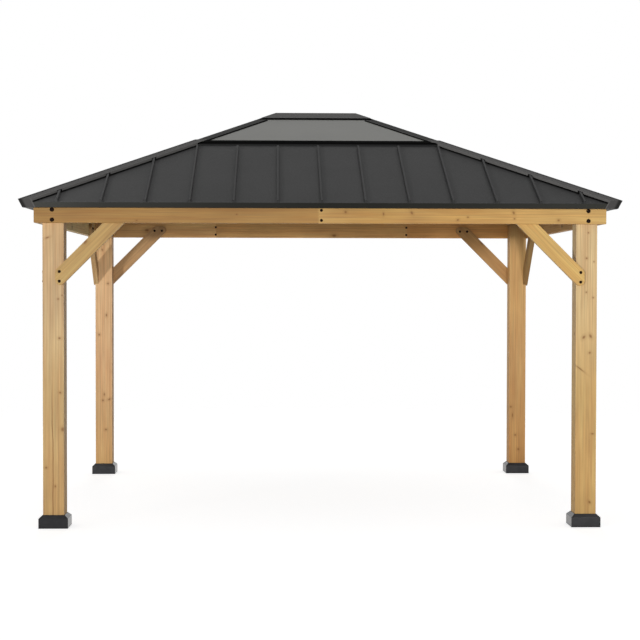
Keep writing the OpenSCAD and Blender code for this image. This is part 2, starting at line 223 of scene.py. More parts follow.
def late_wood_lines(tree, grain):
    """Share of late wood, in wavering lines along the grain."""
    drawn_out = add(tree, "ShaderNodeMapping", {"Vector": grain, "Scale": (1, 1, 1 / LATE_WOOD_DRAWN)})
    lines = add(
        tree,
        "ShaderNodeTexWave",
        {
            "Vector": drawn_out.outputs["Vector"],
            "Scale": WAVE_GAP / LATE_WOOD_GAP,
            "Distortion": 9.0,
            "Detail": 3.0,
            "Detail Scale": 0.6,
        },
        wave_type="RINGS",
        rings_direction="Z",
    ).outputs["Fac"]
    return add(
        tree, "ShaderNodeMapRange", {"Value": lines, "From Min": 0.5, "From Max": 1.0, "To Max": 0.14}
    ).outputs["Result"]


def tinted(tree, colour, streaks):
    """A colour that streaks of heartwood lean from pink to straw."""
    tint = add(tree, "ShaderNodeValToRGB", {"Fac": streaks})
    for stop, spot, lean in zip(tint.color_ramp.elements, (PINK_AT, STRAW_AT), (PINK, STRAW)):
        stop.position = spot
        stop.color = lean
    return add(
        tree, "ShaderNodeVectorMath", {0: colour, 1: tint.outputs["Color"]}, operation="MULTIPLY"
    ).outputs[0]


def stained(tree, colour, stains):
    """A colour with stains over it, one after the other, each a share and a colour."""
    for share, stain in stains:
        layers = {SHARE: share, FIRST: colour, SECOND: stain}
        colour = add(tree, "ShaderNodeMix", layers, data_type="RGBA").outputs[MIXED]
    return colour


def single_knots(tree, place, knots):
    """Distance from the nearest of some knots, 1 at its edge; knots are (centre, half sizes, tilt)."""
    nearest = None
    for centre, half, tilt in knots:
        inner = add(
            tree,
            "ShaderNodeMapping",
            {"Vector": place, "Location": centre, "Rotation": (0, -math.radians(tilt), 0), "Scale": half},
            vector_type="TEXTURE",
        ).outputs["Vector"]
        away = add(tree, "ShaderNodeVectorMath", {0: inner}, operation="LENGTH").outputs["Value"]
        if nearest:
            away = add(tree, "ShaderNodeMath", {0: nearest, 1: away}, operation="MINIMUM").outputs[0]
        nearest = away
    return nearest


def scattered_knots(tree, grain):
    """Distance from the nearest of knots that are strewn along the grain, 1 at its edge."""
    turned = add(tree, "ShaderNodeMapping", {"Vector": grain, "Rotation": (0, 0, KNOT_SWING)})
    axes = add(tree, "ShaderNodeSeparateXYZ", {"Vector": turned.outputs["Vector"]})
    room = {}
    for axis, source, count in (("X", "X", KNOTS_ACROSS), ("Y", "Z", KNOTS_ALONG)):
        spaced = add(tree, "ShaderNodeMath", {0: axes.outputs[source], 1: count}, operation="MULTIPLY")
        room[axis] = spaced.outputs[0]
    cell = add(tree, "ShaderNodeCombineXYZ", room).outputs[0]
    away = add(
        tree, "ShaderNodeTexVoronoi", {"Vector": cell, "Scale": 1.0}, voronoi_dimensions="2D"
    ).outputs["Distance"]
    return add(tree, "ShaderNodeMath", {0: away, 1: 1 / KNOT_SHARE}, operation="MULTIPLY").outputs[0]


def knot_stains(tree, away):
    """Late wood round each knot and its dark heart, as shares and colours."""
    stains = []
    for start, end, most, stain, blending in KNOT_STAINS:
        share = add(
            tree,
            "ShaderNodeMapRange",
            {"Value": away, "From Min": start, "From Max": end, "To Min": most, "To Max": 0},
            interpolation_type=blending,
        ).outputs["Result"]
        stains.append((share, stain))
    return stains


def drying_crack(tree, place, clouds, crack):
    """Share of a crack in the front of a post; crack is (place across, top, front of the post)."""
    across, top, front = crack
    axes = add(tree, "ShaderNodeSeparateXYZ", {"Vector": place})
    line = add(
        tree, "ShaderNodeMapRange", noise_to(clouds, across - CRACK_WANDER, across + CRACK_WANDER)
    ).outputs["Result"]
    off = add(tree, "ShaderNodeMath", {0: axes.outputs["X"], 1: line}, operation="SUBTRACT").outputs[0]
    off = add(tree, "ShaderNodeMath", {0: off}, operation="ABSOLUTE").outputs[0]
    share = add(
        tree,
        "ShaderNodeMapRange",
        {"Value": off, "From Min": CRACK_HALF, "From Max": CRACK_EDGE, "To Min": 0.75, "To Max": 0},
    ).outputs["Result"]
    for axis, start, end in (("Z", top - CRACK_FADE, top), ("Y", front + CRACK_DEPTH, front + CRACK_END)):
        fade = add(
            tree,
            "ShaderNodeMapRange",
            {"Value": axes.outputs[axis], "From Min": start, "From Max": end, "To Min": 1, "To Max": 0},
        ).outputs["Result"]
        share = add(tree, "ShaderNodeMath", {0: share, 1: fade}, operation="MULTIPLY").outputs[0]
    return share


def cedar(
    name, tones, along, turn=(0, 0, 0), boards=False, joints=(), seed=0, mirrored=None, knots=(), crack=None
):
    """Cedar, planed and oiled: straight fine grain, streaks of heartwood, late wood lines and small knots.

    tones are (place, colour) along one axis, blended, or with boards=True one board each with a pattern
    of its own. joints are the starts of boards whose tones are blended. turn brings the length of the
    piece to Z. mirrored is an axis on which the piece is one of a mirrored pair. knots are single knots;
    without them knots are scattered. crack is a drying crack up the front of a post.
    """
    material, tree = new_material(name)
    place = add(tree, "ShaderNodeTexCoord").outputs["Object"]
    axes = add(tree, "ShaderNodeSeparateXYZ", {"Vector": place})
    colours = [(start, linear(code)) for start, code in tones]
    tone = row_of_colours(tree, axes.outputs[along], colours, boards)

    starts = [start for start, _ in tones] if boards else joints
    moved = board_place(tree, place, along, starts, mirrored)
    shift = [start + step * seed for start, step in zip(PIECE_START, PIECE_STEP)]
    grain = add(
        tree, "ShaderNodeMapping", {"Vector": moved, "Rotation": turn, "Location": shift}
    ).outputs["Vector"]
    fibres, streaks, clouds = grain_patterns(tree, grain)
    colour = stained(tree, tone, [(late_wood_lines(tree, grain), LATE_WOOD)])
    colour = tinted(tree, colour, streaks)
    colour = mottled(tree, colour, fibres, 0.86, 1.14)
    colour = mottled(tree, colour, clouds, 0.91, 1.09)

    away = single_knots(tree, place, knots) if knots else scattered_knots(tree, grain)
    stains = knot_stains(tree, away)
    if crack:
        stains.append((drying_crack(tree, place, clouds, crack), KNOT))
    colour = stained(tree, colour, stains)

    relief = add(tree, "ShaderNodeBump", {"Height": fibres, "Strength": 0.2, "Distance": 0.5 * MM})
    roughness = add(tree, "ShaderNodeMapRange", noise_to(fibres, 0.52, 0.68))
    finish_surface(
        tree,
        {
            "Base Color": colour,
            "Roughness": roughness.outputs["Result"],
            "Normal": relief.outputs["Normal"],
            "IOR": 1.45,
            "Specular IOR Level": 0.3,
        },
    )
    return material


# Painted steel, plastic, panes and rubber

# Orange peel is coarser than real so that it shows; sheets bow over a longer way
PEEL = 9 * MM
BOW = 350 * MM
# Spark-eroded grain of the moulds, coarser than real so that it shows, and rubbed spots
MOULD_GRAIN = 4 * MM
RUBBED_SPOT = 60 * MM
# Flow bands in the panes
FLOW_BAND = 400 * MM


def painted_steel(name, tones, roughness, along="X", stepped=False, gloss=0.1, wear_and_painted_light=()):
    """Steel sheet with baked matt paint: a fine orange-peel skin over sheets that are never quite flat.

    tones are (place, colour) along one axis, blended for painted light that makes the ends paler, or
    stepped for the black bands of one piece, partly seals and partly painted shade. The last argument is
    (distance from the hip lines, strength), for painted shade on the folds and in the gaps under the caps
    and painted highlight on the lips.
    """
    material, tree = new_material(name)
    place = add(tree, "ShaderNodeTexCoord").outputs["Object"]
    axes = add(tree, "ShaderNodeSeparateXYZ", {"Vector": place})
    peel = add(tree, "ShaderNodeTexNoise", {"Vector": place, "Scale": 1 / PEEL, "Detail": 2.0}).outputs["Fac"]
    bow = add(tree, "ShaderNodeTexNoise", {"Vector": place, "Scale": 1 / BOW, "Detail": 1.0}).outputs["Fac"]
    colours = [(start, linear(code)) for start, code in tones]
    paint = row_of_colours(tree, axes.outputs[along], colours, stepped)
    if wear_and_painted_light:
        # Painted shade and highlight by distance from the hip lines
        painted_light_stops = [(start, (share, share, share, 1)) for start, share in wear_and_painted_light]
        shade = row_of_colours(tree, from_hip(tree, axes), painted_light_stops)
        paint = add(tree, "ShaderNodeVectorMath", {0: paint, 1: shade}, operation="MULTIPLY").outputs[0]
    skin = add(tree, "ShaderNodeBump", {"Height": peel, "Strength": 0.12, "Distance": 0.5 * MM})
    sheet = add(
        tree,
        "ShaderNodeBump",
        {"Height": bow, "Strength": 0.3, "Distance": 4 * MM, "Normal": skin.outputs["Normal"]},
    )
    satin = add(tree, "ShaderNodeMapRange", noise_to(peel, roughness - 0.05, roughness + 0.05))
    finish_surface(
        tree,
        {
            "Base Color": mottled(tree, paint, bow, 0.94, 1.06),
            "Roughness": satin.outputs["Result"],
            "Normal": sheet.outputs["Normal"],
            "IOR": 1.5,
            "Specular IOR Level": gloss,
        },
    )
    return material


def moulded_plastic(name, code, gloss):
    """Moulded polypropylene: dark, with a fine spark-eroded grain and paler, rubbed high spots."""
    material, tree = new_material(name)
    place = add(tree, "ShaderNodeTexCoord").outputs["Object"]
    grit = add(tree, "ShaderNodeTexNoise", {"Vector": place, "Scale": 1 / MOULD_GRAIN, "Detail": 2.0})
    rub = add(tree, "ShaderNodeTexNoise", {"Vector": place, "Scale": 1 / RUBBED_SPOT, "Detail": 3.0})
    skin = add(
        tree, "ShaderNodeBump", {"Height": grit.outputs["Fac"], "Strength": 0.2, "Distance": 0.4 * MM}
    )
    finish_surface(
        tree,
        {
            "Base Color": mottled(tree, linear(code)[:3], rub.outputs["Fac"], 0.85, 1.15),
            "Roughness": 0.18,
            "Normal": skin.outputs["Normal"],
            "IOR": 1.49,
            "Specular IOR Level": gloss,
        },
    )
    return material


def smoked_pane(name, code):
    """Extruded smoked polycarbonate: smooth, with faint flow bands, and so dark that it is drawn opaque."""
    material, tree = new_material(name)
    place = add(tree, "ShaderNodeTexCoord").outputs["Object"]
    bands = add(tree, "ShaderNodeTexNoise", {"Vector": place, "Scale": 1 / FLOW_BAND, "Detail": 1.0})
    colour = mottled(tree, linear(code)[:3], bands.outputs["Fac"], 0.94, 1.06)
    finish_surface(tree, {"Base Color": colour, "Roughness": 0.3, "IOR": 1.5, "Specular IOR Level": 0.3})
    return material


def dull_black(name, code, spot, least, most, gloss):
    """Black oxide steel or rubber: dark and dull, with worn or dusty paler spots of a size in metres."""
    material, tree = new_material(name)
    place = add(tree, "ShaderNodeTexCoord").outputs["Object"]
    wear_and_painted_light = add(tree, "ShaderNodeTexNoise", {"Vector": place, "Scale": 1 / spot, "Detail": 2.0})
    colour = mottled(tree, linear(code)[:3], wear_and_painted_light.outputs["Fac"], least, most)
    finish_surface(tree, {"Base Color": colour, "Roughness": 0.6, "Specular IOR Level": gloss})
    return material


# Tones and knots of the timber

# Along each post, from the foot up
POST_TONES = {
    "front_left": [(0.0, "#be9965"), (0.9, "#c3a271"), (1.5, "#c4a57d"), (2.1, "#caaa80")],
    "front_right": [(0.0, "#c29b60"), (0.9, "#c7a46b"), (1.4, "#cbac7c"), (2.1, "#d1b488")],
    "rear_left": [(0.0, "#cca169"), (1.0, "#d4aa7e"), (1.6, "#deb588"), (2.1, "#d7ae7c")],
    "rear_right": [(0.0, "#b9874e"), (1.0, "#c39863"), (1.6, "#cca269"), (2.1, "#c59c65")],
}
# Along the front beam, whose boards change tone
FRONT_BEAM_TONES = [
    (-HALF_BEAM, "#a27b46"),
    (-0.25, "#a27b46"),
    (JOINT - 1 * MM, "#ae854c"),
    (JOINT, "#be975b"),
    (0.41, "#b99153"),
    (0.6, "#b88e53"),
    (0.9, "#c69a59"),
    (1.25, "#c99d5d"),
    (HALF_BEAM, "#cca667"),
]
BEAM_TONES = ("#c09a64", "#b8915c")
# The three boards of a lining, drawn lighter than the other cedar as painted light, as the linings sit in
# shade; those on the left are paler
LINING_TONES = ("#e8b779", "#dcaa6b", "#da9f5e")
PALE_LINING_TONES = ("#e8cc94", "#e6c98f", "#e4c68c")
# Both braces of a side, and where its pattern starts
BRACE_TONES = {
    "front": ("#b5945f", "#caa463"),
    # The rear brace of the right side is drawn darker as painted shade
    "right": ("#c59c62", "#937347"),
    "rear": ("#b58e62", "#b38855"),
    "left": ("#c3a06a", "#c5a374"),
}
BRACE_SEEDS = {"front": 43, "right": 6, "rear": 7, "left": 8}
# First seeds of the other pieces
POST_SEED, BEAM_SEED, LINING_SEED, HIP_SEED = 1, 9, 13, 17
# Knots on the front of each post: mm across from its middle, mm up, half width, half height, tilt in degrees
POST_KNOTS = {
    "front_left": (
        (-38, 1929, 13, 5, 20),
        (33, 1523, 6, 5, 0),
        (58, 1547, 4, 4, 0),
        (41, 1263, 8, 7, 0),
        (45, 902, 7, 6, -20),
        (60, 658, 10, 14, 0),
        (-49, 403, 7, 6, 0),
        (11, 279, 5, 7, 0),
    ),
    "front_right": (
        (11, 1970, 5, 5, 0),
        (0, 1800, 6, 6, -30),
        (49, 1777, 4, 5, 0),
        (-1, 1573, 5, 5, -30),
        (45, 1537, 5, 5, 0),
        (-16, 1272, 8, 12, -40),
        (29, 1279, 8, 13, 30),
        (24, 1168, 7, 6, 30),
        (-42, 1062, 33, 4, -38),
        (46, 625, 9, 5, 0),
        (28, 165, 7, 10, 30),
    ),
    "rear_left": (
        (-12, 1916, 6, 9, 20),
        (23, 1358, 7, 12, 0),
        (36, 1628, 9, 8, 0),
        (-39, 1191, 8, 9, 0),
        (4, 680, 6, 11, 0),
        (46, 638, 13, 7, 30),
        (-8, 629, 8, 8, 0),
        (17, 379, 9, 8, 0),
    ),
    "rear_right": (
        (-55, 572, 8, 8, -20),
        (-40, 499, 5, 17, 0),
        (-16, 329, 8, 9, 0),
        (11, 206, 9, 9, 0),
    ),
}
# Knots on the front beam: mm along from its middle, then as on the posts
BEAM_KNOTS = (
    (-1219, 2043, 7, 4, 10),
    (-560, 2084, 6, 4, 0),
    (160, 2101, 8, 8, 0),
    (411, 2089, 5, 10, 0),
    (599, 2097, 7, 11, 30),
    (905, 2051, 8, 6, 20),
    (972, 2069, 6, 5, 0),
    (1276, 2099, 7, 10, 30),
    (1282, 2060, 6, 5, 0),
    (1576, 2050, 8, 7, 0),
)
POST_KNOT_DEPTH = 30 * MM
BEAM_KNOT_DEPTH = 20 * MM
# Knots on each other face of a post: how many, the lowest, the room for each and how far they stray up
FACE_KNOTS = 3
FACE_KNOT_LOW, FACE_KNOT_ROOM, FACE_KNOT_STRAY = 0.2, 0.62, 0.5
# Their share of the half width of the face, and least and greatest half sizes in mm
FACE_KNOT_ACROSS = 0.7
FACE_KNOT_WIDE = (5, 9)
FACE_KNOT_TALL = (5, 10)
# The crack in the front-left post: place across from its middle, and its top
CRACK_ACROSS = -6 * MM
CRACK_TOP = 1.05


def face_knots(middle, half, front, seed):
    """Knots of a post: the front ones in mm from its middle and the floor, and a few on each other face."""
    knots = []
    for across, up, wide, tall, tilt in front:
        centre = (middle[0] + across * MM, middle[1] - half, up * MM)
        knots.append((centre, (wide * MM, POST_KNOT_DEPTH, tall * MM), tilt))
    chance = random.Random(seed)
    for side in ((1, 0), (-1, 0), (0, 1)):
        for turn in range(FACE_KNOTS):
            across = chance.uniform(-FACE_KNOT_ACROSS, FACE_KNOT_ACROSS) * half
            up = FACE_KNOT_LOW + FACE_KNOT_ROOM * turn + chance.uniform(0, FACE_KNOT_STRAY)
            wide = chance.uniform(*FACE_KNOT_WIDE) * MM
            tall = chance.uniform(*FACE_KNOT_TALL) * MM
            centre = (
                middle[0] + (half * side[0] if side[0] else across),
                middle[1] + (half * side[1] if side[1] else across),
                up,
            )
            size = (POST_KNOT_DEPTH, wide, tall) if side[0] else (wide, POST_KNOT_DEPTH, tall)
            knots.append((centre, size, 0))
    return knots


# Finish of the timber

finishes = {}
for number, corner in enumerate(CORNERS):
    corner_low, corner_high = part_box("post_" + corner)
    middle = [(a + b) / 2 for a, b in zip(corner_low, corner_high)]
    cracked = (middle[0] + CRACK_ACROSS, CRACK_TOP, middle[1] - POST_W / 2)
    finishes["post_" + corner] = cedar(
        "cedar_post_" + corner,
        POST_TONES[corner],
        "Z",
        seed=POST_SEED + number,
        knots=face_knots(middle, POST_W / 2, POST_KNOTS[corner], number),
        crack=cracked if corner == "front_left" else None,
    )

# Turns that bring the length of a piece to Z
FROM_X = (0, QUARTER, 0)
FROM_Y = (QUARTER, 0, 0)
BRACE_TURNS = {"X": (0, QUARTER / 2, 0), "Y": (-QUARTER / 2, 0, 0)}
front_knots = [
    ((across * MM, beam_low[1], up * MM), (wide * MM, BEAM_KNOT_DEPTH, tall * MM), tilt)
    for across, up, wide, tall, tilt in BEAM_KNOTS
]
for number, side in enumerate(SIDES):
    row, run, turn = ("X", HALF_BEAM, FROM_X) if side in LONG_SIDES else ("Y", HALF_SIDE_BEAM, FROM_Y)
    front = side == "front"
    finishes[side + "_braces"] = cedar(
        "cedar_braces_" + side,
        list(zip((-run, 0.0), BRACE_TONES[side])),
        row,
        turn=BRACE_TURNS[row],
        boards=True,
        seed=BRACE_SEEDS[side],
        mirrored=row,
    )
    finishes[side + "_beam"] = cedar(
        "cedar_beam_" + side,
        FRONT_BEAM_TONES if front else list(zip((-run, JOINT), BEAM_TONES)),
        row,
        turn=turn,
        boards=not front,
        joints=(-run, JOINT) if front else (),
        seed=BEAM_SEED + number,
        knots=front_knots if front else (),
    )
    joint = run * LINING_SHARE
    finishes[side + "_beam_lining"] = cedar(
        "cedar_lining_" + side,
        list(zip((-run, -joint, joint), PALE_LINING_TONES if side == "left" else LINING_TONES)),
        row,
        turn=turn,
        boards=True,
        seed=LINING_SEED + number,
    )
for number, corner in enumerate(CORNERS):
    swing = QUARTER / 2 if corner in ("front_left", "rear_right") else -QUARTER / 2
    finishes["hip_rafter_" + corner] = cedar(
        "cedar_hip_rafter_" + corner,
        [(-1.0, "#bd955f"), (1.0, "#c29a63")],
        "X",
        turn=(0, QUARTER, -swing),
        seed=HIP_SEED + number,
    )
# Rafters and boards under the roof: node, material, tones, axis, turn and seed
for node, name, tones, row, turn, seed in (
    ("ridge_board", "cedar_ridge", [(-0.4, "#bd955f"), (0.4, "#c09862")], "X", FROM_X, 21),
    ("purlins", "cedar_purlins", [(-1.0, "#b98f5b"), (1.0, "#c09862")], "X", FROM_X, 22),
    ("common_rafters", "cedar_rafters", [(-1.5, "#ba925d"), (1.5, "#c39b65")], "Y", FROM_Y, 23),
):
    finishes[node] = cedar(name, tones, row, turn=turn, seed=seed)

# Finish of the roof and the bases

# Painted light: the sheets are paler towards the left end, and the trims and caps towards both ends
ROOF_TONES = (
    (-1.95, "#484848"),
    (-1.6, "#444444"),
    (-1.3, "#3d3d3d"),
    (-1.0, "#393939"),
    (-0.5, "#363636"),
    (1.95, "#353535"),
)
TRIM_TONES = (
    (-1.95, "#444441"),
    (-1.4, "#343431"),
    (-0.6, "#272724"),
    (0.2, "#1f1f1b"),
    (1.0, "#272723"),
    (1.95, "#353531"),
)
CAP_TONES = ((-1.95, "#4e4d4c"), (-1.0, "#484746"), (1.0, "#484746"), (1.95, "#4a4948"))
# The sheets are in shade under the hip caps
CAP_SHADE = ((0.0, 0.1), (64 * MM, 0.1), (71 * MM, 1.0))
# Painted shade darkens the hip caps along the hip line, and painted highlight makes the lips paler
CAP_PAINTED_LIGHT = (
    (0.0, 0.25),
    (14 * MM, 0.25),
    (24 * MM, 1.0),
    (55 * MM, 1.0),
    (57 * MM, 1.6),
    (62 * MM, 1.6),
    (64 * MM, 1.0),
)
# The skylight frame is black on the sills, dark seals deepened by painted shade, and black under the ridge
# cap as painted shadow
pane_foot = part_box("front_skylight")[0][2] + 1 * MM
cap_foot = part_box("ridge_cap")[0][2] - 16 * MM
FRAME_TONES = (
    (pane_foot - 200 * MM, "#2c2c2c"),
    (pane_foot - 20 * MM, "#121212"),
    (pane_foot, "#545453"),
    (cap_foot, "#050505"),
)
# Each base has its own colour and gloss: the colours are lighter and darker copies of one plastic, as painted
# light for how each base is lit
BASE_LOOKS = {
    "front_left": ("#2e2e30", 0.19),
    "front_right": ("#38383a", 0.15),
    "rear_left": ("#3c3c3e", 0.22),
    "rear_right": ("#373739", 0.09),
}
roof_paint = painted_steel("painted_steel_charcoal", ROOF_TONES, 0.55, wear_and_painted_light=CAP_SHADE)
trim_paint = painted_steel("painted_steel_black", TRIM_TONES, 0.55)
ridge_paint = painted_steel("painted_steel_ridge", CAP_TONES, 0.5)
cap_paint = painted_steel("painted_steel_grey", CAP_TONES, 0.5, wear_and_painted_light=CAP_PAINTED_LIGHT)
frame_paint = painted_steel("painted_steel_frame", FRAME_TONES, 0.6, along="Z", stepped=True, gloss=0.0)
pane_finish = smoked_pane("smoked_polycarbonate", "#60605a")
for side in SIDES:
    finishes[side + "_roof_panel"] = roof_paint
    finishes[side + "_fascia"] = trim_paint
    finishes[side + "_skylight"] = pane_finish
for corner in CORNERS:
    finishes["hip_cap_" + corner] = cap_paint
    finishes["post_base_" + corner] = moulded_plastic("polypropylene_" + corner, *BASE_LOOKS[corner])
finishes["ridge_cap"] = ridge_paint
finishes["skylight_frame"] = frame_paint

# Sawn timber has its arrises eased by 3 mm, moulded bases have rounded edges: width and segments
EASED = {"cedar": (3 * MM, 2), "polypropylene": (11 * MM, 4)}
MERGED = 0.02 * MM
SHARP = math.radians(40)


def ease_edges(node, width, segments):
    """Joins the loose faces of a node and rounds its sharp edges, with live modifiers."""
    weld = node.modifiers.new("joined faces", "WELD")
    weld.merge_threshold = MERGED
    ease = node.modifiers.new("eased edges", "BEVEL")
    ease.width = width
    ease.segments = segments
    ease.limit_method = "ANGLE"
    ease.angle_limit = SHARP


for name, finish in finishes.items():
    node = nodes[name]
    node.data.materials.clear()
    node.data.materials.append(finish)
    for kind, rounding in EASED.items():
        if finish.name.startswith(kind):
            ease_edges(node, *rounding)

# Added pieces


def pick_faces(obj, chosen):
    """Selects the faces for which chosen is true, and opens edit mode."""
    bpy.ops.object.mode_set(mode="EDIT")
    bpy.ops.mesh.select_mode(type="FACE")
    bpy.ops.mesh.select_all(action="DESELECT")
    bpy.ops.object.mode_set(mode="OBJECT")
    for face in obj.data.polygons:
        face.select = chosen(face)
    bpy.ops.object.mode_set(mode="EDIT")


def copy_at(shape, place):
    """A copy of a shape with its own mesh, moved and turned by a matrix."""
    copy = shape.copy()
    copy.data = shape.data.copy()
    scene.collection.objects.link(copy)
    copy.data.transform(place)
    return copy


def join_piece(name, copies):
    """Joins copies into one dark piece that is fixed to the frame."""
    bpy.ops.object.select_all(action="DESELECT")
    for copy in copies:
        copy.select_set(True)
    piece = copies[0]
    bpy.context.view_layer.objects.active = piece
    bpy.ops.object.join()
    piece.name = name
    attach(piece, "root")


# Bolts

BOLT_R = 10 * MM
BOLT_H = 5 * MM
# The rims of black oxide bolts wear brown
bolt_finish = dull_black("black_oxide_steel", "#1e120b", 6 * MM, 0.7, 1.4, 0.05)


def model_bolt():
    """A low round head with a sloping rim and a socket, standing on the XY plane."""
    rim_h, shoulder_h, crown_h, socket_h = (BOLT_H * share for share in (0.5, 0.35, 0.15, 0.5))
    shoulder_w, crown_w, lip_w = (BOLT_R * share for share in (0.25, 0.3, 0.1))
    bpy.ops.object.select_all(action="DESELECT")
    bpy.ops.mesh.primitive_cylinder_add(vertices=20, radius=BOLT_R, depth=rim_h, location=(0, 0, rim_h / 2))
    bolt = bpy.context.object
    bpy.ops.object.transform_apply(location=True, rotation=True, scale=True)
    pick_faces(bolt, lambda face: face.normal.z > 0.9)
    bpy.ops.mesh.inset(thickness=shoulder_w)
    bpy.ops.transform.translate(value=(0, 0, shoulder_h))
    bpy.ops.mesh.inset(thickness=crown_w)
    bpy.ops.transform.translate(value=(0, 0, crown_h))
    bpy.ops.mesh.inset(thickness=lip_w)
    bpy.ops.mesh.extrude_region_move(TRANSFORM_OT_translate={"value": (0, 0, -socket_h)})
    bpy.ops.object.mode_set(mode="OBJECT")
    bolt.data.materials.append(bolt_finish)
    return bolt


def set_bolts(name, size, spots, spin):
    """Bolts of one size as one piece; spots are (x, y, height over the beams' underside, direction)."""
    copies = []
    for x, y, up, facing in spots:
        place = spin @ Vector((x, y, BEAM_Z + up))
        turn = Vector((0, 0, 1)).rotation_difference(spin @ Vector(facing)).to_matrix().to_4x4()
        copies.append(copy_at(bolt_shape, Matrix.Translation(place) @ turn @ Matrix.Scale(size, 4)))
    join_piece(name, copies)
    bpy.ops.object.shade_smooth_by_angle(angle=math.radians(35))


# Heights over the beams' underside, and places in the braces: from the post's inner face and up
BEAM_BOLTS = (20 * MM, 86 * MM)
LINING_BOLTS = (27 * MM, 90 * MM)
BRACE_FOOT_IN = 28 * MM
BRACE_FOOT_UP = (-321 * MM, -385 * MM)
BRACE_HEAD_OUT = (354 * MM, 417 * MM)
BRACE_HEAD_UP = 57 * MM
BRACE_T = brace_high[1] - brace_low[1]
BRACE_OUT = lining_in - brace_low[1]
# Sizes of the bolts: largest where the beams are fixed to the posts
POST_BOLT, BOARD_BOLT, BRACE_BOLT = 1.4, 0.95, 1.0
OUTWARD, INWARD = (0, -1, 0), (0, 1, 0)

bolt_shape = model_bolt()
for number, side in enumerate(SIDES):
    spin = Matrix.Rotation(QUARTER * number, 4, "Z")
    if side in LONG_SIDES:
        beam_out, lining_face, post_mid, run = beam_low[1], lining_in, POST_X, HALF_BEAM
    else:
        beam_out, lining_face, post_mid, run = side_beam_low[0], side_lining_in, POST_Y, HALF_SIDE_BEAM
    brace_face = lining_face - BRACE_OUT
    post_in = post_mid - POST_W / 2
    joint = run * LINING_SHARE
    spots = [(x, beam_out, up, OUTWARD) for x in (-post_mid, post_mid) for up in BEAM_BOLTS]
    set_bolts(side + "_beam_bolts", POST_BOLT, spots, spin)
    spots = [(0, beam_out, up, OUTWARD) for up in BEAM_BOLTS]
    set_bolts(side + "_joint_bolts", BOARD_BOLT, spots, spin)
    if side in LONG_SIDES:
        spots = [(x, lining_face, up, INWARD) for x in (-joint, joint) for up in LINING_BOLTS]
        set_bolts(side + "_lining_bolts", BOARD_BOLT, spots, spin)
    foot = post_in + BRACE_FOOT_IN
    spots = [(x, brace_face, up, OUTWARD) for x in (-foot, foot) for up in BRACE_FOOT_UP]
    for way in (-1, 1):
        for out in BRACE_HEAD_OUT:
            spots.append((way * (post_in - out), brace_face + BRACE_T, BRACE_HEAD_UP, INWARD))
    set_bolts(side + "_brace_bolts", BRACE_BOLT, spots, spin)
bpy.data.objects.remove(bolt_shape)

# Rubber gaskets on the panes, along the hip bars and the sill

# Pitch of the roof and thickness of the panes
PITCH = math.radians(24.3)
PANE_T = 4 * MM
# Distances in plan: from the hip line to the hip bars' sides, and from the ridge to the ridge bar's foot
BAR_SIDE = 48.3 * MM
RIDGE_FOOT = 135 * MM
# Gaskets: width, thickness, gap at the pane's edge and lift off its face
GASKET_W = 18 * MM
GASKET_T = 2 * MM
GASKET_GAP = 0.2 * MM
GASKET_LIFT = 0.05 * MM
# Rubber gathers dust
rubber_finish = dull_black("epdm_rubber", "#171717", 30 * MM, 0.8, 1.25, 0.0)


def gasket_strip(low_half, high_half, run):
    """A strip lying flat round a pane, open at the top, with its foot towards -Y."""
    bpy.ops.object.select_all(action="DESELECT")
    bpy.ops.mesh.primitive_plane_add(size=1, location=(0, 0, 0))
    gasket = bpy.context.object
    gasket.scale = (2 * low_half, run, 1)
    bpy.ops.object.transform_apply(location=False, rotation=False, scale=True)
    # The upper edge is drawn in
    bpy.ops.object.mode_set(mode="EDIT")
    bpy.ops.mesh.select_mode(type="EDGE")
    bpy.ops.mesh.select_all(action="DESELECT")
    bpy.ops.object.mode_set(mode="OBJECT")
    for edge in gasket.data.edges:
        edge.select = all(gasket.data.vertices[i].co.y > 0 for i in edge.vertices)
    bpy.ops.object.mode_set(mode="EDIT")
    bpy.ops.transform.resize(value=(high_half / low_half, 1, 1))
    # A frame is left when the middle goes, and a strip open at the top when its upper side goes
    bpy.ops.mesh.select_mode(type="FACE")
    bpy.ops.mesh.select_all(action="SELECT")
    bpy.ops.mesh.inset(thickness=GASKET_W)
    bpy.ops.mesh.delete(type="FACE")
    bpy.ops.object.mode_set(mode="OBJECT")
    pick_faces(gasket, lambda face: face.center.y > run / 2 - GASKET_W)
    bpy.ops.mesh.delete(type="FACE")
    bpy.ops.object.mode_set(mode="OBJECT")
    skin = gasket.modifiers.new("thickness", "SOLIDIFY")
    skin.thickness = GASKET_T
    skin.offset = 1
    bpy.ops.object.modifier_apply(modifier=skin.name)
    return gasket


def turn_foot_down(gasket, run):
    """Takes the foot of a flat strip out past the pane and down over its edge."""
    edge = -run / 2
    pick_faces(gasket, lambda face: face.normal.y < -0.9 and face.center.y < edge + 0.1 * MM)
    bpy.ops.mesh.extrude_region_move(TRANSFORM_OT_translate={"value": (0, -GASKET_T, 0)})
    bpy.ops.object.mode_set(mode="OBJECT")
    pick_faces(gasket, lambda face: face.normal.z < -0.9 and face.center.y < edge)
    bpy.ops.mesh.extrude_region_move(TRANSFORM_OT_translate={"value": (0, 0, GASKET_GAP - PANE_T)})
    bpy.ops.object.mode_set(mode="OBJECT")


def model_gasket(reach, pane_z, shift):
    """The gasket of a pane on the front of the roof.

    reach and pane_z are how far out and how high the pane starts, and shift moves the hip lines.
    """
    foot = reach + GASKET_GAP
    foot_z = pane_z + PANE_T * math.cos(PITCH) - GASKET_GAP * math.tan(PITCH) + GASKET_LIFT
    head = RIDGE_FOOT - min(shift, 0)
    hip_gap = shift - BAR_SIDE * math.sqrt(2)
    run = (foot - head) / math.cos(PITCH)
    gasket = gasket_strip(foot + hip_gap, head + hip_gap, run)
    turn_foot_down(gasket, run)
    gasket.rotation_euler = (PITCH, 0, 0)
    gasket.location = (0, -(foot + head) / 2, foot_z + run / 2 * math.sin(PITCH))
    bpy.ops.object.transform_apply(location=True, rotation=True, scale=True)
    gasket.data.materials.append(rubber_finish)
    return gasket


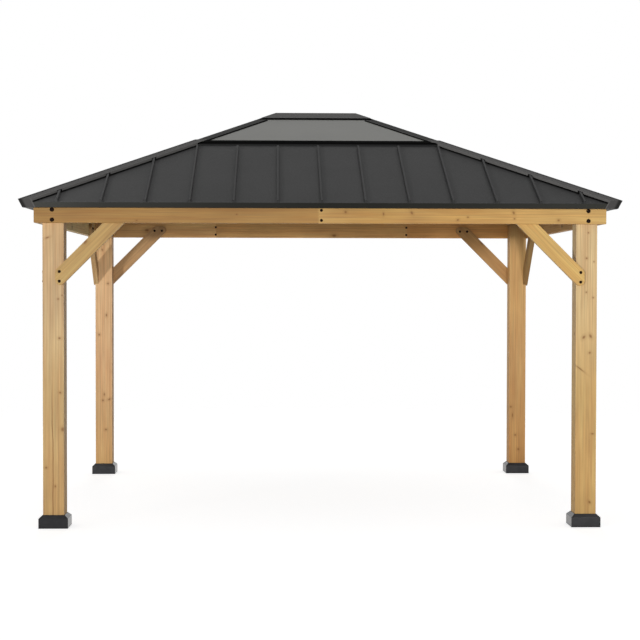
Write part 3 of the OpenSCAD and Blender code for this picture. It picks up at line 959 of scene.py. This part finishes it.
front_pane_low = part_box("front_skylight")[0]
right_pane_low, right_pane_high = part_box("right_skylight")
long_gasket = model_gasket(-front_pane_low[1], front_pane_low[2], RIDGE_HALF)
end_gasket = model_gasket(right_pane_high[0], right_pane_low[2], -RIDGE_HALF)
gaskets = []
for number, side in enumerate(SIDES):
    shape = long_gasket if side in LONG_SIDES else end_gasket
    gaskets.append(copy_at(shape, Matrix.Rotation(QUARTER * number, 4, "Z")))
for shape in (long_gasket, end_gasket):
    bpy.data.objects.remove(shape)
join_piece("skylight_gaskets", gaskets)

# Floor, light and camera

FLOOR_W = 28.0
# The floor fades out between these distances
FADE_START, FADE_END = 4.0, 9.0
FLOOR_GLOW = 0.74
AMBIENT = 0.31
WHITE = (1, 1, 1, 1)
# Far, soft lamps: name, direction, strength and width in degrees
LAMPS = (
    ("key_front_left", (0.75, 1.0, -0.015), 1.3, 5),
    ("fill_front_right", (-0.15, 1.0, -0.01), 0.8, 5),
    ("low_front", (0.0, 1.0, 0.08), 0.36, 12),
    ("back_fill", (0.0, -1.0, -0.1), 1.5, 20),
)
# Camera fitted to the photograph
LENS = 86.1
CAMERA_PLACE = (-0.2854, -11.7221, 1.6184)
CAMERA_TURN = (QUARTER - 0.02286, -0.0016, -0.0273)


def shown_rays(tree):
    """1 for the rays that show the white studio: to the camera, in gloss and through glass."""
    rays = add(tree, "ShaderNodeLightPath")
    seen = rays.outputs["Is Camera Ray"]
    for kind in ("Is Glossy Ray", "Is Transmission Ray"):
        seen = add(tree, "ShaderNodeMath", {0: seen, 1: rays.outputs[kind]}, operation="MAXIMUM").outputs[0]
    return seen


def studio_paint(name):
    """Matt white paint that shows white to the camera, keeps the shadow and fades out far from the middle."""
    material, tree = new_material(name)
    place = add(tree, "ShaderNodeTexCoord").outputs["Object"]
    away = add(tree, "ShaderNodeVectorMath", {0: place}, operation="LENGTH").outputs["Value"]
    fade = add(
        tree,
        "ShaderNodeMapRange",
        {"Value": away, "From Min": FADE_START, "From Max": FADE_END},
        interpolation_type="SMOOTHSTEP",
    ).outputs["Result"]
    paint = add(tree, "ShaderNodeBsdfDiffuse", {"Color": linear("#f6f6f6")}).outputs[0]
    glow = add(tree, "ShaderNodeEmission", {"Color": WHITE, "Strength": FLOOR_GLOW}).outputs[0]
    lifted = add(tree, "ShaderNodeAddShader", {0: paint, 1: glow}).outputs[0]
    surface = add(tree, "ShaderNodeMixShader", {0: shown_rays(tree), 1: paint, 2: lifted}).outputs[0]
    clear = add(tree, "ShaderNodeBsdfTransparent").outputs[0]
    faded = add(tree, "ShaderNodeMixShader", {0: fade, 1: surface, 2: clear}).outputs[0]
    add(tree, "ShaderNodeOutputMaterial", {"Surface": faded})
    return material


def light_room(world):
    """Dim, even light on the object, in front of a backdrop that shows white."""
    world.use_nodes = True
    tree = world.node_tree
    tree.nodes.clear()
    ambient = add(tree, "ShaderNodeBackground", {"Color": WHITE, "Strength": AMBIENT}).outputs[0]
    backdrop = add(tree, "ShaderNodeBackground", {"Color": WHITE, "Strength": 1.0}).outputs[0]
    room = add(tree, "ShaderNodeMixShader", {0: shown_rays(tree), 1: ambient, 2: backdrop}).outputs[0]
    add(tree, "ShaderNodeOutputWorld", {"Surface": room})


bpy.ops.object.select_all(action="DESELECT")
bpy.ops.mesh.primitive_plane_add(size=FLOOR_W, location=(0, 0, 0))
floor = bpy.context.object
floor.name = "studio_floor"
floor.data.materials.append(studio_paint("white_studio_floor"))

scene.world = bpy.data.worlds.new("soft_white_studio")
light_room(scene.world)

for name, towards, strength, spread in LAMPS:
    lamp = bpy.data.lights.new(name, "SUN")
    lamp.energy = strength
    lamp.angle = math.radians(spread)
    lamp_stand = bpy.data.objects.new(name, lamp)
    lamp_stand.rotation_euler = Vector(towards).to_track_quat("-Z", "Y").to_euler()
    # The back lamp lights the far sides alone and makes no glints towards the front
    lamp_stand.visible_glossy = name != "back_fill"
    scene.collection.objects.link(lamp_stand)

camera_data = bpy.data.cameras.new("camera")
camera_data.sensor_width = 36.0
camera_data.lens = LENS
camera = bpy.data.objects.new("camera", camera_data)
camera.location = CAMERA_PLACE
camera.rotation_euler = CAMERA_TURN
scene.collection.objects.link(camera)
scene.camera = camera
scene.view_settings.view_transform = "Standard"
